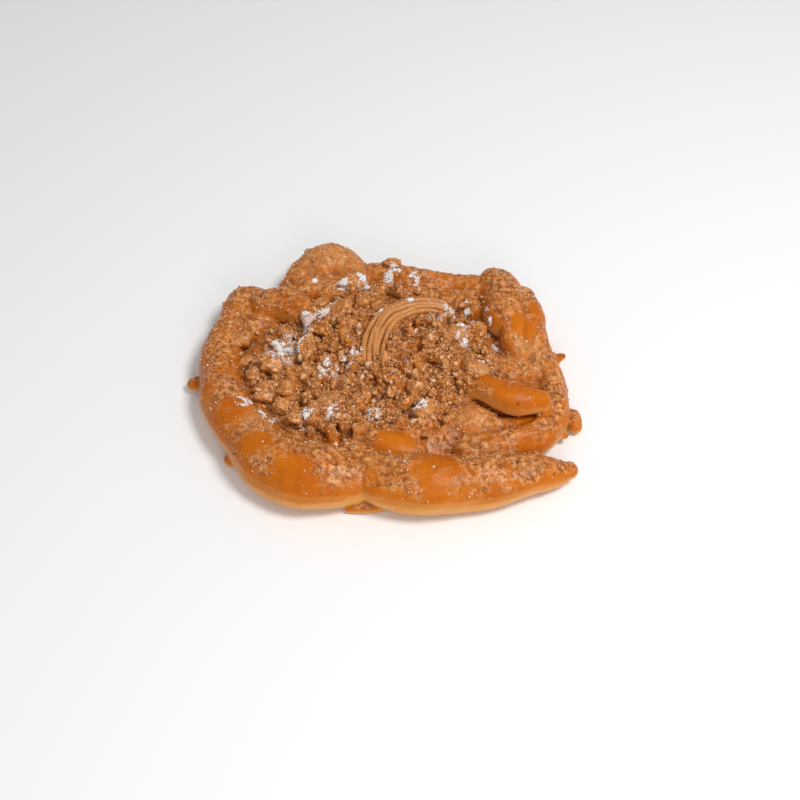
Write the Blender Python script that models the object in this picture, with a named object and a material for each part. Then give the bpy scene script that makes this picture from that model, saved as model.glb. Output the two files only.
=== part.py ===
"""Funnel cake: thick strands of fried dough, poured across each other and fused, under nuggets and crumbs.

The cake is one solid. Lengths here are in millimetres, and MM turns them into metres. +Z is up, the cake's
front faces -Y, and the origin is the middle of its footprint, on the surface that it rests on.
"""

import math
import random

import bmesh
import bpy
from mathutils import Quaternion, Vector, noise
from mathutils.bvhtree import BVHTree

MM = 0.001
LAYOUT_MIDDLE = Vector((-1.7, 2.3, 0))  # the middle of the footprint, as the points below count x and y

# The closed middle is a low pad with a flat top, and a mound inside the swirl: centres and half sizes
PAD_CENTRE, PAD_HALF_SIZE = (-5, 0, 5), (62, 52, 12)
MOUND_CENTRE, MOUND_HALF_SIZE = (20, 5, 10), (24, 22, 10.5)
FLATNESS = 0.6  # a power on the height of their round tops: 1 is a ball, and less is flatter
PAD_FACETS = (20, 8)
MOUND_FACETS = (12, 8)

# The thin batter of the middle was poured round and round in small loops
LOOP_COUNT = 6
LOOP_ROUTE = (34, 24)  # half sizes of the oval that the loops go round
LOOP_REACH = 12
LOOP_RADIUS = 3.6
LOOP_RISE = 1.2  # how far the loops rise and dip about the pad's top

# The swirl: fine ribbons side by side on the mound
SWIRL_MIDDLE = (21, 6)
SWIRL_RADII = (29.6, 26.7, 23.8)
SWIRL_ANGLES = (196, 80)  # in degrees from +X, from the left end of the swirl round its back
SWIRL_HEIGHT = 23
SWIRL_DIP = 4  # how far the ends of the ribbons sink
SWIRL_BED = (26.5, 15.5, 7)  # the thick strand under the ribbons: arc radius, height, radius
RIBBON_RADIUS = 1.8

# Crumbs, and the unevenness of the dough
CRUMB_COUNT = 34
CRUMB_RADII = (1.4, 2.5)
CRUMB_AREA = (53, 40)  # half sizes of the oval that the crumbs fall on
CRUMB_SEED = 11
WOBBLE_WAVE, WOBBLE = 16.0, 1.3  # the slow unevenness of poured dough
BLISTER_WAVE, BLISTER = 6.0, 0.4  # the small blisters that frying raises
WOBBLE_SEED = 22
NUGGET_BUMPS = 0.3
SUNK = 0.45  # how far a nugget's middle lies above the dough, in half heights

THICKER = (0, 4, 9)  # each of these radii that a strand is over gives it two more sides than four
STRAND_STEP = 1.3  # the spacing of a strand's rings, in radii
FINE_STEP = 3
END_RINGS = (0.5, 0.88)  # where the rings of a strand's round end are, in radii
WELD = 0.01
FALL_HEIGHT = 60  # crumbs fall from this height
TABLE_SIZE = Vector((400, 400, 40))
LOOP_WAVES = 5  # how often the loops rise and dip on their way round
LOOP_POINTS = 6  # points of one loop
SWIRL_POINTS = 7

# The strands: x, y, height and radius at the points that each one runs through
STRANDS = {
    "left_rim": [
        (-57, 41.5, 11, 8.5),
        (-64, 43, 10, 9),
        (-68, 32.5, 10, 8.5),
        (-72.5, 14, 10, 9),
        (-72.5, -2.5, 10, 9.5),
        (-67.5, -18, 10, 10.5),
        (-60, -31, 10, 10.5),
    ],
    "front_left": [
        (-62.5, -24, 9, 9),
        (-53.5, -39.5, 10, 12),
        (-41, -51.5, 11, 14),
        (-27.5, -55, 11, 14),
        (-14.5, -54.5, 10, 12),
    ],
    "front_tongue": [
        (-13.5, -48.5, 11, 10),
        (0, -56, 11, 12),
        (18, -59.5, 11, 12.2),
        (38.5, -57, 10, 11.4),
        (56, -53.5, 9, 9.2),
        (68.5, -50.5, 7, 6.6),
        (75.5, -48.5, 6, 3.8),
    ],
    "inner_front": [
        (35, -41, 9, 8),
        (47.5, -39.5, 9, 8.2),
        (59.5, -35.5, 9, 7.6),
        (67, -30, 9, 7.2),
        (71, -18.5, 9, 7.2),
        (71.5, -6, 9, 6.6),
        (69, 4.5, 10, 6.6),
    ],
    "finger": [
        (36, -11, 18, 6),
        (42.6, -14.8, 20, 5.8),
        (52.5, -21.2, 20, 6.9),
        (59, -22.3, 19.5, 6.4),
        (64.5, -21.9, 18.5, 5),
    ],
    "finger_bed": [(38, 2, 9, 9), (52, -1, 9, 10), (65, 0, 9, 7)],
    "finger_foot": [(45, -10, 8, 9), (60, -11, 8, 7.5)],
    "right_rim": [
        (69, 4.5, 10, 6.6),
        (65.5, 13.5, 12, 6.8),
        (63.5, 23.5, 13, 7.2),
        (63.5, 33.5, 14, 7.6),
        (62, 42.5, 14, 6.4),
    ],
    "right_bed": [(57, 8, 8, 9), (56, 28, 8, 9)],
    "right_fold": [(59, 8, 16, 4.5), (55, 16, 17, 5.5), (57, 25, 17, 5)],
    "back_right_dome": [(50, 48.5, 16, 9), (52.5, 39.5, 17, 9.5), (52, 27, 18, 9)],
    "back": [
        (-7, 58.5, 14, 6),
        (6, 55.5, 15, 6.5),
        (20.5, 52.5, 15, 6),
        (34.5, 51, 14, 6),
        (43.5, 47, 14, 7),
    ],
    "back_under": [(-24, 47, 9, 10), (5, 44, 9, 10), (36, 41, 9, 10), (56, 33, 9, 9)],
    "back_left_hump": [
        (-44, 54, 9, 6.5),
        (-38, 62, 10, 8.5),
        (-29.5, 65.5, 12, 11.5),
        (-20.5, 63.5, 12, 10),
        (-14, 55.5, 13, 8),
    ],
    "hump_bed": [(-38, 51, 8, 9), (-18, 52, 8, 10)],
    "corner_bed": [(-60, 28, 8, 8.5), (-46, 38, 8, 9)],
    "left_shoulder": [(-54.5, 37.5, 15, 7.5), (-45, 37, 16, 9), (-37.5, 30.5, 17, 8)],
    "pale_pillow": [(28, -27, 10, 7), (37, -27, 10, 9), (45, -28.5, 8, 7)],
    "pillow_end": [(45, -28.5, 8, 6.5), (55, -28, 7.5, 6), (64, -26, 7, 5)],
    "front_patch": [(-5.5, -38.5, 13, 6), (2.5, -41.5, 13, 7.5), (11, -44, 11, 6.5)],
    "small_ridge": [(-2, -9.5, 20.5, 2.4), (5, -12, 21, 2.8), (12, -17, 19.5, 2.4)],
    "inner_ridge": [(24, 18, 23.5, 1.8), (19, 9, 24.5, 2.2), (16, 1.5, 23.5, 1.8)],
}

# Drips of batter that ran out under the strands and set
DRIPS = {
    "left_drip": [(-80, 0, 4, 3.4), (-84.5, -0.5, 3.2, 2.8)],
    "front_left_drip": [(-61, -37.5, 3, 3.6), (-65, -39, 2.6, 3)],
    "front_drip": [(-15.5, -64.5, 1.6, 2.2), (-8, -64, 2, 3), (-2, -63, 2, 2.6)],
    "right_drip": [(76, -18, 4, 3), (80, -17, 4, 3.3), (80.5, -22, 4, 3.4)],
    "right_bead": [(74.5, -6, 6, 2.4), (76.5, -5.5, 6.5, 2.6)],
    "right_low_bead": [(72.5, -28, 5.5, 2.4), (75, -28.5, 5.5, 2.2)],
    "right_spur": [(71.5, 16.5, 6, 2), (75, 14.5, 6, 2.4), (78, 15.5, 6.5, 1.7)],
    "right_spur_leg": [(72, 8, 5, 2.6), (74.5, 12, 5.6, 2.4), (75, 14.5, 6, 2.4)],
}

# The larger nuggets: x, y, half length, half width, half height, and the turn from +X in degrees
NUGGETS = {
    "rim_diamond": (-63.5, 18.5, 4.6, 3.8, 3, 45),
    "rim_bean": (-60, 5.5, 4.6, 2.9, 2.8, 10),
    "left_pebble": (-56.5, -4.5, 2.8, 2.6, 2.6, 0),
    "left_bean": (-49, -3.5, 4.6, 3.4, 3.2, 0),
    "left_large": (-50.5, -14, 4.9, 4.4, 4.2, 20),
    "left_middle": (-42, -15, 4.2, 4, 4, 60),
    "left_cube": (-44, -23, 3.2, 3, 3.4, 30),
    "lozenge": (-33.5, 7, 6.4, 3.4, 3, 80),
    "front_large": (-23, -23, 6.2, 5, 3.6, 30),
    "front_amber": (-30, -27.5, 4.8, 3.8, 3, 75),
    "back_large": (-21.5, 32.5, 6, 5, 3.8, 30),
    "back_middle": (-9, 35, 4.8, 4, 3.4, 0),
    "hump_foot": (-16, 47.5, 5, 4, 3.6, 15),
    "pale_pebble": (-29.5, 39.5, 3.8, 3.2, 3, 0),
    "back_lozenge": (2.5, 58, 4.4, 2.4, 2.2, 0),
    "middle_pebble": (12, -18, 3.6, 3.2, 3, 0),
    "middle_amber": (16.5, -27.5, 4.4, 3.6, 3.2, 50),
    "right_arc": (30, 11.5, 4.8, 3.4, 3, 20),
    "right_pebble": (40, 18, 4.2, 3.6, 3, 0),
}


def clear_scene():
    for obj in list(bpy.data.objects):
        bpy.data.objects.remove(obj)


def new_collection(name):
    collection = bpy.data.collections.new(name)
    bpy.context.scene.collection.children.link(collection)
    return collection


def fried_dough():
    material = bpy.data.materials.new("fried_dough")
    material.use_nodes = True
    shader = material.node_tree.nodes["Principled BSDF"]
    shader.inputs["Base Color"].default_value = (0.44, 0.15, 0.03, 1)
    shader.inputs["Roughness"].default_value = 0.42
    shader.inputs["Metallic"].default_value = 0
    return material


def round_end(last, before):
    """The rings that close a strand, from its last ring outwards."""
    outward = (last - before).to_3d().normalized()
    rings = []
    for reach in END_RINGS:
        centre = last.to_3d() + outward * last.w * reach
        rings.append(Vector((*centre, last.w * math.sqrt(1 - reach * reach))))
    return rings


def rings_through(points, step):
    """A smooth curve through a strand's points, with its radius, as rings from end to end."""
    knots = [Vector(point) for point in points]
    knots = [2 * knots[0] - knots[1], *knots, 2 * knots[-1] - knots[-2]]
    rings = []
    for a, b, c, d in zip(knots, knots[1:], knots[2:], knots[3:]):
        count = max(2, round((c - b).to_3d().length / (step * min(b.w, c.w))))
        for i in range(count):
            t = i / count
            bend = (2 * a - 5 * b + 4 * c - d) * t**2 + (3 * b - a - 3 * c + d) * t**3
            rings.append((2 * b + (c - a) * t + bend) / 2)
    rings.append(knots[-2])
    start = round_end(rings[0], rings[1])
    return start[::-1] + rings + round_end(rings[-1], rings[-2])


def uneven(at):
    """Where the slow wobble and the blisters of the dough move a point to."""
    slow = noise.noise_vector(at / WOBBLE_WAVE) * WOBBLE
    fine = noise.noise_vector(at / BLISTER_WAVE) * BLISTER
    return at + slow + fine


def add_object(name, mesh, collection):
    obj = bpy.data.objects.new(name, mesh)
    collection.objects.link(obj)
    return obj


def mesh_of(name, shape, move):
    """A mesh from a bmesh, with each point where move puts it."""
    for vert in shape.verts:
        vert.co = (move(vert.co) - LAYOUT_MIDDLE) * MM
    mesh = bpy.data.meshes.new(name)
    shape.to_mesh(mesh)
    shape.free()
    return mesh


def strand(name, points, collection, step=STRAND_STEP):
    """A tube of dough through the points, closed by a round end at both ends."""
    curve = bpy.data.curves.new(name, "CURVE")
    curve.dimensions = "3D"
    curve.bevel_depth = 1
    curve.bevel_resolution = sum(max(point[3] for point in points) > thick for thick in THICKER)
    curve.use_fill_caps = True
    rings = rings_through(points, step)
    spline = curve.splines.new("POLY")
    spline.points.add(len(rings) - 1)
    for point, ring in zip(spline.points, rings):
        point.co = (*ring.to_3d(), 1)
        point.radius = ring.w
    route = add_object(name + "_route", curve, collection)
    graph = bpy.context.evaluated_depsgraph_get()
    tube = bmesh.new()
    tube.from_mesh(bpy.data.meshes.new_from_object(route.evaluated_get(graph)))
    bpy.data.objects.remove(route)
    bmesh.ops.remove_doubles(tube, verts=tube.verts, dist=WELD)
    return add_object(name, mesh_of(name, tube, uneven), collection)


def ball(name, centre, half_size, facets, collection):
    """A squashed ball of dough."""
    shape = bmesh.new()
    bmesh.ops.create_uvsphere(shape, u_segments=facets[0], v_segments=facets[1], radius=1)

    def move(at):
        at.z = math.copysign(abs(at.z) ** FLATNESS, at.z)
        return uneven(Vector(c + h * part for c, h, part in zip(centre, half_size, at)))

    return add_object(name, mesh_of(name, shape, move), collection)


def lump(name, centre, half_size, turn, subdivisions, collection):
    """A nugget or a crumb: a small bumpy ball."""
    shape = bmesh.new()
    bmesh.ops.create_icosphere(shape, subdivisions=subdivisions, radius=1)
    spin = Quaternion((0, 0, 1), math.radians(turn))

    def move(at):
        bump = 1 + NUGGET_BUMPS * noise.noise(at + centre)
        return centre + spin @ Vector(h * bump * part for h, part in zip(half_size, at))

    return add_object(name, mesh_of(name, shape, move), collection)


def pad_height(x, y):
    across = (x - PAD_CENTRE[0]) / PAD_HALF_SIZE[0]
    along = (y - PAD_CENTRE[1]) / PAD_HALF_SIZE[1]
    round_height = math.sqrt(max(0, 1 - across**2 - along**2))
    return PAD_CENTRE[2] + PAD_HALF_SIZE[2] * round_height**FLATNESS


def loop_points():
    """Small loops of batter, one after another round an oval."""
    points = []
    for i in range(LOOP_COUNT * LOOP_POINTS):
        turn = math.tau * i / (LOOP_COUNT * LOOP_POINTS)
        x = PAD_CENTRE[0] + LOOP_ROUTE[0] * math.cos(turn) + LOOP_REACH * math.cos(LOOP_COUNT * turn)
        y = PAD_CENTRE[1] + LOOP_ROUTE[1] * math.sin(turn) + LOOP_REACH * math.sin(LOOP_COUNT * turn)
        rise = LOOP_RISE * math.sin(LOOP_WAVES * turn)
        points.append((x, y, pad_height(x, y) + rise, LOOP_RADIUS))
    return points


def swirl_points(radius, height, thickness):
    """One strand of the swirl, which sinks between the crumbs at both ends."""
    points = []
    for i in range(SWIRL_POINTS):
        share = i / (SWIRL_POINTS - 1)
        angle = math.radians(SWIRL_ANGLES[0] + (SWIRL_ANGLES[1] - SWIRL_ANGLES[0]) * share)
        dip = SWIRL_DIP * (2 * share - 1) ** 4
        x = SWIRL_MIDDLE[0] + radius * math.cos(angle)
        y = SWIRL_MIDDLE[1] + radius * math.sin(angle)
        points.append((x, y, height - dip, thickness))
    return points


def surface_of(objects):
    """What a falling crumb meets, in metres."""
    verts, faces = [], []
    for obj in objects:
        start = len(verts)
        verts.extend(vert.co.copy() for vert in obj.data.vertices)
        faces.extend([start + i for i in face.vertices] for face in obj.data.polygons)
    return BVHTree.FromPolygons(verts, faces)


def landing(surface, x, y, half_height):
    """The middle of a lump that fell at x, y and sank in a little."""
    above = (Vector((x, y, FALL_HEIGHT)) - LAYOUT_MIDDLE) * MM
    height = surface.ray_cast(above, Vector((0, 0, -1)))[0].z / MM
    return Vector((x, y, height + SUNK * half_height))


def add_nuggets(surface, collection):
    for name, (x, y, *half_size, turn) in NUGGETS.items():
        lump(name, landing(surface, x, y, half_size[2]), half_size, turn, 2, collection)


def add_crumbs(surface, collection):
    draw = random.Random(CRUMB_SEED)
    for i in range(CRUMB_COUNT):
        angle = draw.uniform(0, math.tau)
        reach = math.sqrt(draw.random())
        x = PAD_CENTRE[0] + CRUMB_AREA[0] * reach * math.cos(angle)
        y = PAD_CENTRE[1] + CRUMB_AREA[1] * reach * math.sin(angle)
        radius = draw.uniform(*CRUMB_RADII)
        half_size = [radius * draw.uniform(0.8, 1.25) for _ in range(3)]
        lump(f"crumb_{i}", landing(surface, x, y, radius), half_size, draw.uniform(0, 360), 1, collection)


def apply_modifier(obj):
    graph = bpy.context.evaluated_depsgraph_get()
    mesh = bpy.data.meshes.new_from_object(obj.evaluated_get(graph))
    obj.modifiers.clear()
    obj.data = mesh


def combine(obj, operation, collection):
    """Joins a collection's closed meshes to the object, or cuts them from it."""
    modifier = obj.modifiers.new(operation.lower(), "BOOLEAN")
    modifier.operation = operation
    modifier.solver = "MANIFOLD"
    modifier.operand_type = "COLLECTION"
    modifier.collection = collection
    apply_modifier(obj)
    for piece in list(collection.objects):
        bpy.data.objects.remove(piece)
    bpy.data.collections.remove(collection)


def table_under():
    """What the cake rests on, which cuts it flat below."""
    cutters = new_collection("cutters")
    slab = bmesh.new()
    bmesh.ops.create_cube(slab, size=1)
    drop = Vector((0, 0, TABLE_SIZE.z / 2))
    mesh = mesh_of("table", slab, lambda at: at * TABLE_SIZE - drop)
    table = add_object("table", mesh, cutters)
    table.hide_render = True
    table.display_type = "WIRE"
    return cutters


def keep_outer_surface(obj):
    """Fills the hollows that joining sealed, and drops loose scraps: only the largest surface stays."""
    shape = bmesh.new()
    shape.from_mesh(obj.data)
    unseen = set(shape.verts)
    surfaces = []
    while unseen:
        found = {unseen.pop()}
        edge = list(found)
        while edge:
            near = {link.other_vert(vert) for vert in edge for link in vert.link_edges} & unseen
            unseen -= near
            found |= near
            edge = list(near)
        surfaces.append(found)
    surfaces.sort(key=len)
    for small in surfaces[:-1]:
        bmesh.ops.delete(shape, geom=list(small), context="VERTS")
    shape.to_mesh(obj.data)
    shape.free()


def main():
    clear_scene()
    noise.seed_set(WOBBLE_SEED)
    model = new_collection("funnel_cake_model")
    dough = new_collection("dough")
    for name, points in {**STRANDS, **DRIPS}.items():
        strand(name, points, dough)
    for i, radius in enumerate(SWIRL_RADII):
        strand(f"ribbon_{i}", swirl_points(radius, SWIRL_HEIGHT, RIBBON_RADIUS), dough, FINE_STEP)
    strand("swirl_bed", swirl_points(*SWIRL_BED), dough)
    strand("poured_loops", loop_points(), dough, FINE_STEP)
    ball("mound", MOUND_CENTRE, MOUND_HALF_SIZE, MOUND_FACETS, dough)
    cake = ball("funnel_cake", PAD_CENTRE, PAD_HALF_SIZE, PAD_FACETS, model)
    surface = surface_of([cake, *dough.objects])
    add_nuggets(surface, dough)
    add_crumbs(surface, dough)
    combine(cake, "UNION", dough)
    combine(cake, "DIFFERENCE", table_under())
    keep_outer_surface(cake)
    cake.data.shade_smooth()
    cake.data.materials.append(fried_dough())


main()
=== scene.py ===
"""The looks of the funnel cake: fried dough, nuggets, cinnamon crumbs and powdered sugar.

Lengths are in millimetres, and MM turns them into metres. The strands are the solid's own, swept with
more sides. They are fused by a fine remesh, and crusted with relief and loose crumbs.
"""

import math

import bmesh
import bpy
import numpy as np
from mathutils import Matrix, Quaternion, Vector, noise
from mathutils.bvhtree import BVHTree


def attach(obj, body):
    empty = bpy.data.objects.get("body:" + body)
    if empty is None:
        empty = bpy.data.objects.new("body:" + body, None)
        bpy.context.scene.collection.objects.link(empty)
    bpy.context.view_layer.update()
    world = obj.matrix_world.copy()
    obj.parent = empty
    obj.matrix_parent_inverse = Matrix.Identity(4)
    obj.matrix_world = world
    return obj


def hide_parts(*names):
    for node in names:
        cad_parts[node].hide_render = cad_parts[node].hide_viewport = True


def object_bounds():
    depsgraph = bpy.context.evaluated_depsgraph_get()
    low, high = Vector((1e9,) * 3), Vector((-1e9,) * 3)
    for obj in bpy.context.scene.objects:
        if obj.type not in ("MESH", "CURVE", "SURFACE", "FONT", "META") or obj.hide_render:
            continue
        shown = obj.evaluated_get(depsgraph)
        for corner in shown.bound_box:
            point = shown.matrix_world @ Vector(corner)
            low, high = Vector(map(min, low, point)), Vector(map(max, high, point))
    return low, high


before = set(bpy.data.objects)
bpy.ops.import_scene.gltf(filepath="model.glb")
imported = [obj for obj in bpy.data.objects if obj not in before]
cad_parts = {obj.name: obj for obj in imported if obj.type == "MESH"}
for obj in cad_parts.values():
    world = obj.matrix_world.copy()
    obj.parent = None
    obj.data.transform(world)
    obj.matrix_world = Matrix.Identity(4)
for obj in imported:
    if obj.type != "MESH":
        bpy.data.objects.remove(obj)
cad_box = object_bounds()

MM = 0.001
LAYOUT_MIDDLE = Vector((-1.7, 2.3, 0))  # the middle of the footprint, as the points below count x and y

# The closed middle is a low pad with a flat top, and a mound inside the swirl: centres and half sizes
PAD_CENTRE, PAD_HALF_SIZE = (-5, 0, 5), (62, 52, 12)
MOUND_CENTRE, MOUND_HALF_SIZE = (20, 5, 10), (24, 22, 10.5)
FLATNESS = 0.6  # a power on the height of their round tops: 1 is a ball, and less is flatter

# The thin batter of the middle was poured round and round in small loops
LOOP_COUNT = 6
LOOP_ROUTE = (34, 24)  # half sizes of the oval that the loops go round
LOOP_REACH = 12
LOOP_RADIUS = 3.6
LOOP_RISE = 1.2  # how far the loops rise and dip about the pad's top
LOOP_WAVES = 5  # how often the loops rise and dip on their way round
LOOP_POINTS = 6  # points of one loop

# The swirl: fine ribbons side by side over a thick strand
SWIRL_MIDDLE = (21, 6)
SWIRL_RADII = (30.5, 28.6, 26.7, 24.8, 22.9)
SWIRL_ANGLES = (196, 80)  # in degrees from +X, from the left end of the swirl round its back
SWIRL_HEIGHT = 23.6
SWIRL_ARCH = 0.09  # how fast the outer ribbons lie lower than the middle one
SWIRL_DIP = 4  # how far the ends of the ribbons sink
SWIRL_POINTS = 9
SWIRL_BED = (26.5, 15.5, 7)  # the thick strand under the ribbons: arc radius, height, radius
SWIRL_EDGE = (4.0, 5.6)  # between which distances from the bed's arc the crumbs set in
RIBBON_RADIUS = 1.15
RIBBON_SWAY = 0.45  # how far a ribbon strays from its arc

# Craggy lumps of thin batter all over the middle
LUMP_COUNT = 430
LUMP_RADII = (1.6, 5.2)
LUMP_AREA = (51, 41)  # half sizes of the oval that they fill

# Crags on the skin of the middle, larger and smaller, and the crust's relief
CRAG_WAVES = (5.2, 2.3)
CRAG_HEIGHTS = (1.0, 0.55)
CRAG_SINK = 0.8  # how far the crevices between the crags lie below the smooth dough
CRUST_WAVES = (5, 2.8, 1.5)

# The oval that crumbs fill
MIDDLE_CENTRE, MIDDLE_HALF_SIZE = (-5, 3), (60, 47)

WOBBLE_WAVE, WOBBLE = 16.0, 1.3  # the slow unevenness of poured dough
BLISTER_WAVE, BLISTER = 6.0, 0.4  # the small blisters that frying raises
WOBBLE_SEED = 22
NUGGET_SEED = 3
GRAIN_SEED = 5  # for the lumps and for all that is scattered
NUGGET_RISE = 0.45  # how far a nugget's middle lies above the dough, in half heights

# What is scattered: how many pieces, and their smallest and largest radius
CHUNK_COUNT, CHUNK_RADII = 80, (1.8, 3.8)
CRUMB_COUNT, CRUMB_RADII = 1100, (0.6, 1.6)
FINE_CRUMB_COUNT, FINE_CRUMB_RADII = 4500, (0.3, 0.75)
CRYSTAL_COUNT, CRYSTAL_RADII = 17000, (0.15, 0.42)
POWDER_COUNT, POWDER_RADII = 15000, (0.14, 0.42)
VEIL_ON_PIECES = 0.6  # how white powdered sugar makes nuggets and crumbs, against the dough
VEIL_ON_RIBBONS = 0.45

STRAND_STEP = 0.35  # the spacing of a strand's rings, in radii
STRAND_SIDES = 8  # as a curve's bevel resolution
END_RINGS = (0.2, 0.4, 0.6, 0.75, 0.87, 0.95, 0.99)  # where the rings of a round end are, in radii
WELD = 0.01  # points closer than this are one
VOXEL = 0.6  # the fineness of the fused dough
HIGH_ABOVE = 60  # above all of the cake
INSET = 0.02  # how far everything stays inside the solid's box
BOX_LOW = np.array(cad_box[0]) / MM + np.array(LAYOUT_MIDDLE) + INSET
BOX_HIGH = np.array(cad_box[1]) / MM + np.array(LAYOUT_MIDDLE) - INSET

# The photograph's view
LENS = 55
ELEVATION = math.radians(50)
DISTANCE = 526
LOOK_AT = (6, -12, 8)

# The studio: a pale floor, and two lights that look at the origin, in metres and watts
FLOOR_SIZE = 3.0
FLOOR_DROP = 0.15  # mm below the cake
SURROUND = 0.45
LIGHTS = {
    "key": {"place": (0.4, -0.2, 0.87), "size": 0.3, "energy": 6.0},
    "front": {"place": (0.2, -0.9, 0.5), "size": 0.5, "energy": 2.4},
}

# The strands: x, y, height and radius at the points that each one runs through
STRANDS = {
    "left_rim": [
        (-57, 41.5, 11, 8.5),
        (-64, 43, 10, 9),
        (-68, 32.5, 10, 8.5),
        (-72.5, 14, 10, 9),
        (-72.5, -2.5, 10, 9.5),
        (-67.5, -18, 10, 10.5),
        (-60, -31, 10, 10.5),
    ],
    "front_left": [
        (-62.5, -24, 9, 9),
        (-53.5, -39.5, 10, 12),
        (-41, -51.5, 11, 14),
        (-27.5, -55, 11, 14),
        (-14.5, -54.5, 10, 12),
    ],
    "front_tongue": [
        (-13.5, -48.5, 11, 10),
        (0, -56, 11, 12),
        (18, -59.5, 11, 12.2),
        (38.5, -57, 10, 11.4),
        (56, -53.5, 9, 9.2),
        (68.5, -50.5, 7, 6.6),
        (75.5, -48.5, 6, 3.8),
    ],
    "inner_front": [
        (35, -41, 9, 8),
        (47.5, -39.5, 9, 8.2),
        (59.5, -35.5, 9, 7.6),
        (67, -30, 9, 7.2),
        (71, -18.5, 9, 7.2),
        (71.5, -6, 9, 6.6),
        (69, 4.5, 10, 6.6),
    ],
    "finger": [
        (36, -11, 18, 6),
        (42.6, -14.8, 20, 5.8),
        (52.5, -21.2, 20, 6.9),
        (59, -22.3, 19.5, 6.4),
        (64.5, -21.9, 18.5, 5),
    ],
    "finger_bed": [(38, 2, 9, 9), (52, -1, 9, 10), (65, 0, 9, 7)],
    "finger_foot": [(45, -10, 8, 9), (60, -11, 8, 7.5)],
    "right_rim": [
        (69, 4.5, 10, 6.6),
        (65.5, 13.5, 12, 6.8),
        (63.5, 23.5, 13, 7.2),
        (63.5, 33.5, 14, 7.6),
        (62, 42.5, 14, 6.4),
    ],
    "right_bed": [(57, 8, 8, 9), (56, 28, 8, 9)],
    "right_fold": [(59, 8, 16, 4.5), (55, 16, 17, 5.5), (57, 25, 17, 5)],
    "back_right_dome": [(50, 48.5, 16, 9), (52.5, 39.5, 17, 9.5), (52, 27, 18, 9)],
    "back": [
        (-7, 58.5, 14, 6),
        (6, 55.5, 15, 6.5),
        (20.5, 52.5, 15, 6),
        (34.5, 51, 14, 6),
        (43.5, 47, 14, 7),
    ],
    "back_under": [(-24, 47, 9, 10), (5, 44, 9, 10), (36, 41, 9, 10), (56, 33, 9, 9)],
    "back_left_hump": [
        (-44, 54, 9, 6.5),
        (-38, 62, 10, 8.5),
        (-29.5, 65.5, 12, 11.5),
        (-20.5, 63.5, 12, 10),
        (-14, 55.5, 13, 8),
    ],
    "hump_bed": [(-38, 51, 8, 9), (-18, 52, 8, 10)],
    "corner_bed": [(-60, 28, 8, 8.5), (-46, 38, 8, 9)],
    "left_shoulder": [(-54.5, 37.5, 15, 7.5), (-45, 37, 16, 9), (-37.5, 30.5, 17, 8)],
    "pale_pillow": [(28, -27, 10, 7), (37, -27, 10, 9), (45, -28.5, 8, 7)],
    "pillow_end": [(45, -28.5, 8, 6.5), (55, -28, 7.5, 6), (64, -26, 7, 5)],
    "front_patch": [(-5.5, -38.5, 13, 6), (2.5, -41.5, 13, 7.5), (11, -44, 11, 6.5)],
    "small_ridge": [(-2, -9.5, 20.5, 2.4), (5, -12, 21, 2.8), (12, -17, 19.5, 2.4)],
    "inner_ridge": [(24, 18, 23.5, 1.8), (19, 9, 24.5, 2.2), (16, 1.5, 23.5, 1.8)],
}

# Drips of batter that ran out under the strands and set
DRIPS = {
    "left_drip": [(-80, 0, 4, 3.4), (-84.5, -0.5, 3.2, 2.8)],
    "front_left_drip": [(-61, -37.5, 3, 3.6), (-65, -39, 2.6, 3)],
    "front_drip": [(-15.5, -64.5, 1.6, 2.2), (-8, -64, 2, 3), (-2, -63, 2, 2.6)],
    "right_drip": [(76, -18, 4, 3), (80, -17, 4, 3.3), (80.5, -22, 4, 3.4)],
    "right_bead": [(74.5, -6, 6, 2.4), (76.5, -5.5, 6.5, 2.6)],
    "right_low_bead": [(72.5, -28, 5.5, 2.4), (75, -28.5, 5.5, 2.2)],
    "right_spur": [(71.5, 16.5, 6, 2), (75, 14.5, 6, 2.4), (78, 15.5, 6.5, 1.7)],
    "right_spur_leg": [(72, 8, 5, 2.6), (74.5, 12, 5.6, 2.4), (75, 14.5, 6, 2.4)],
}

# The larger nuggets: x, y, half length, half width, half height, and the turn from +X in degrees
NUGGETS = {
    "rim_diamond": (-63.5, 18.5, 4.6, 3.8, 3, 45),
    "rim_bean": (-60, 5.5, 4.6, 2.9, 2.8, 10),
    "left_pebble": (-56.5, -4.5, 2.8, 2.6, 2.6, 0),
    "left_bean": (-49, -3.5, 4.6, 3.4, 3.2, 0),
    "left_large": (-50.5, -14, 4.9, 4.4, 4.2, 20),
    "left_middle": (-42, -15, 4.2, 4, 4, 60),
    "left_cube": (-44, -23, 3.2, 3, 3.4, 30),
    "lozenge": (-33.5, 7, 6.4, 3.4, 3, 80),
    "front_large": (-23, -23, 6.2, 5, 3.6, 30),
    "front_amber": (-30, -27.5, 4.8, 3.8, 3, 75),
    "back_large": (-21.5, 32.5, 6, 5, 3.8, 30),
    "back_middle": (-9, 35, 4.8, 4, 3.4, 0),
    "hump_foot": (-16, 47.5, 5, 4, 3.6, 15),
    "pale_pebble": (-29.5, 39.5, 3.8, 3.2, 3, 0),
    "back_lozenge": (2.5, 58, 4.4, 2.4, 2.2, 0),
    "middle_pebble": (12, -18, 3.6, 3.2, 3, 0),
    "middle_amber": (16.5, -27.5, 4.4, 3.6, 3.2, 50),
    "right_arc": (30, 11.5, 4.8, 3.4, 3, 20),
    "right_pebble": (40, 18, 4.2, 3.6, 3, 0),
    "finger_root": (37.5, -9, 6, 4.6, 4, 150),
}

# Where the dough is bare and smooth, without crumbs: x, y, radius
BARE_PATCHES = [
    (3.6, -43, 7),
    (21, -60, 9),
    (-63.5, -27, 7),
    (60, 19, 5),
    (-52, -45, 6),
    (-36, -62, 9),
    (43, -15, 4),
    (50, -20, 5.5),
    (58, -23, 6),
    (65, -23, 5),
    (66, 30, 4),
]

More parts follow.
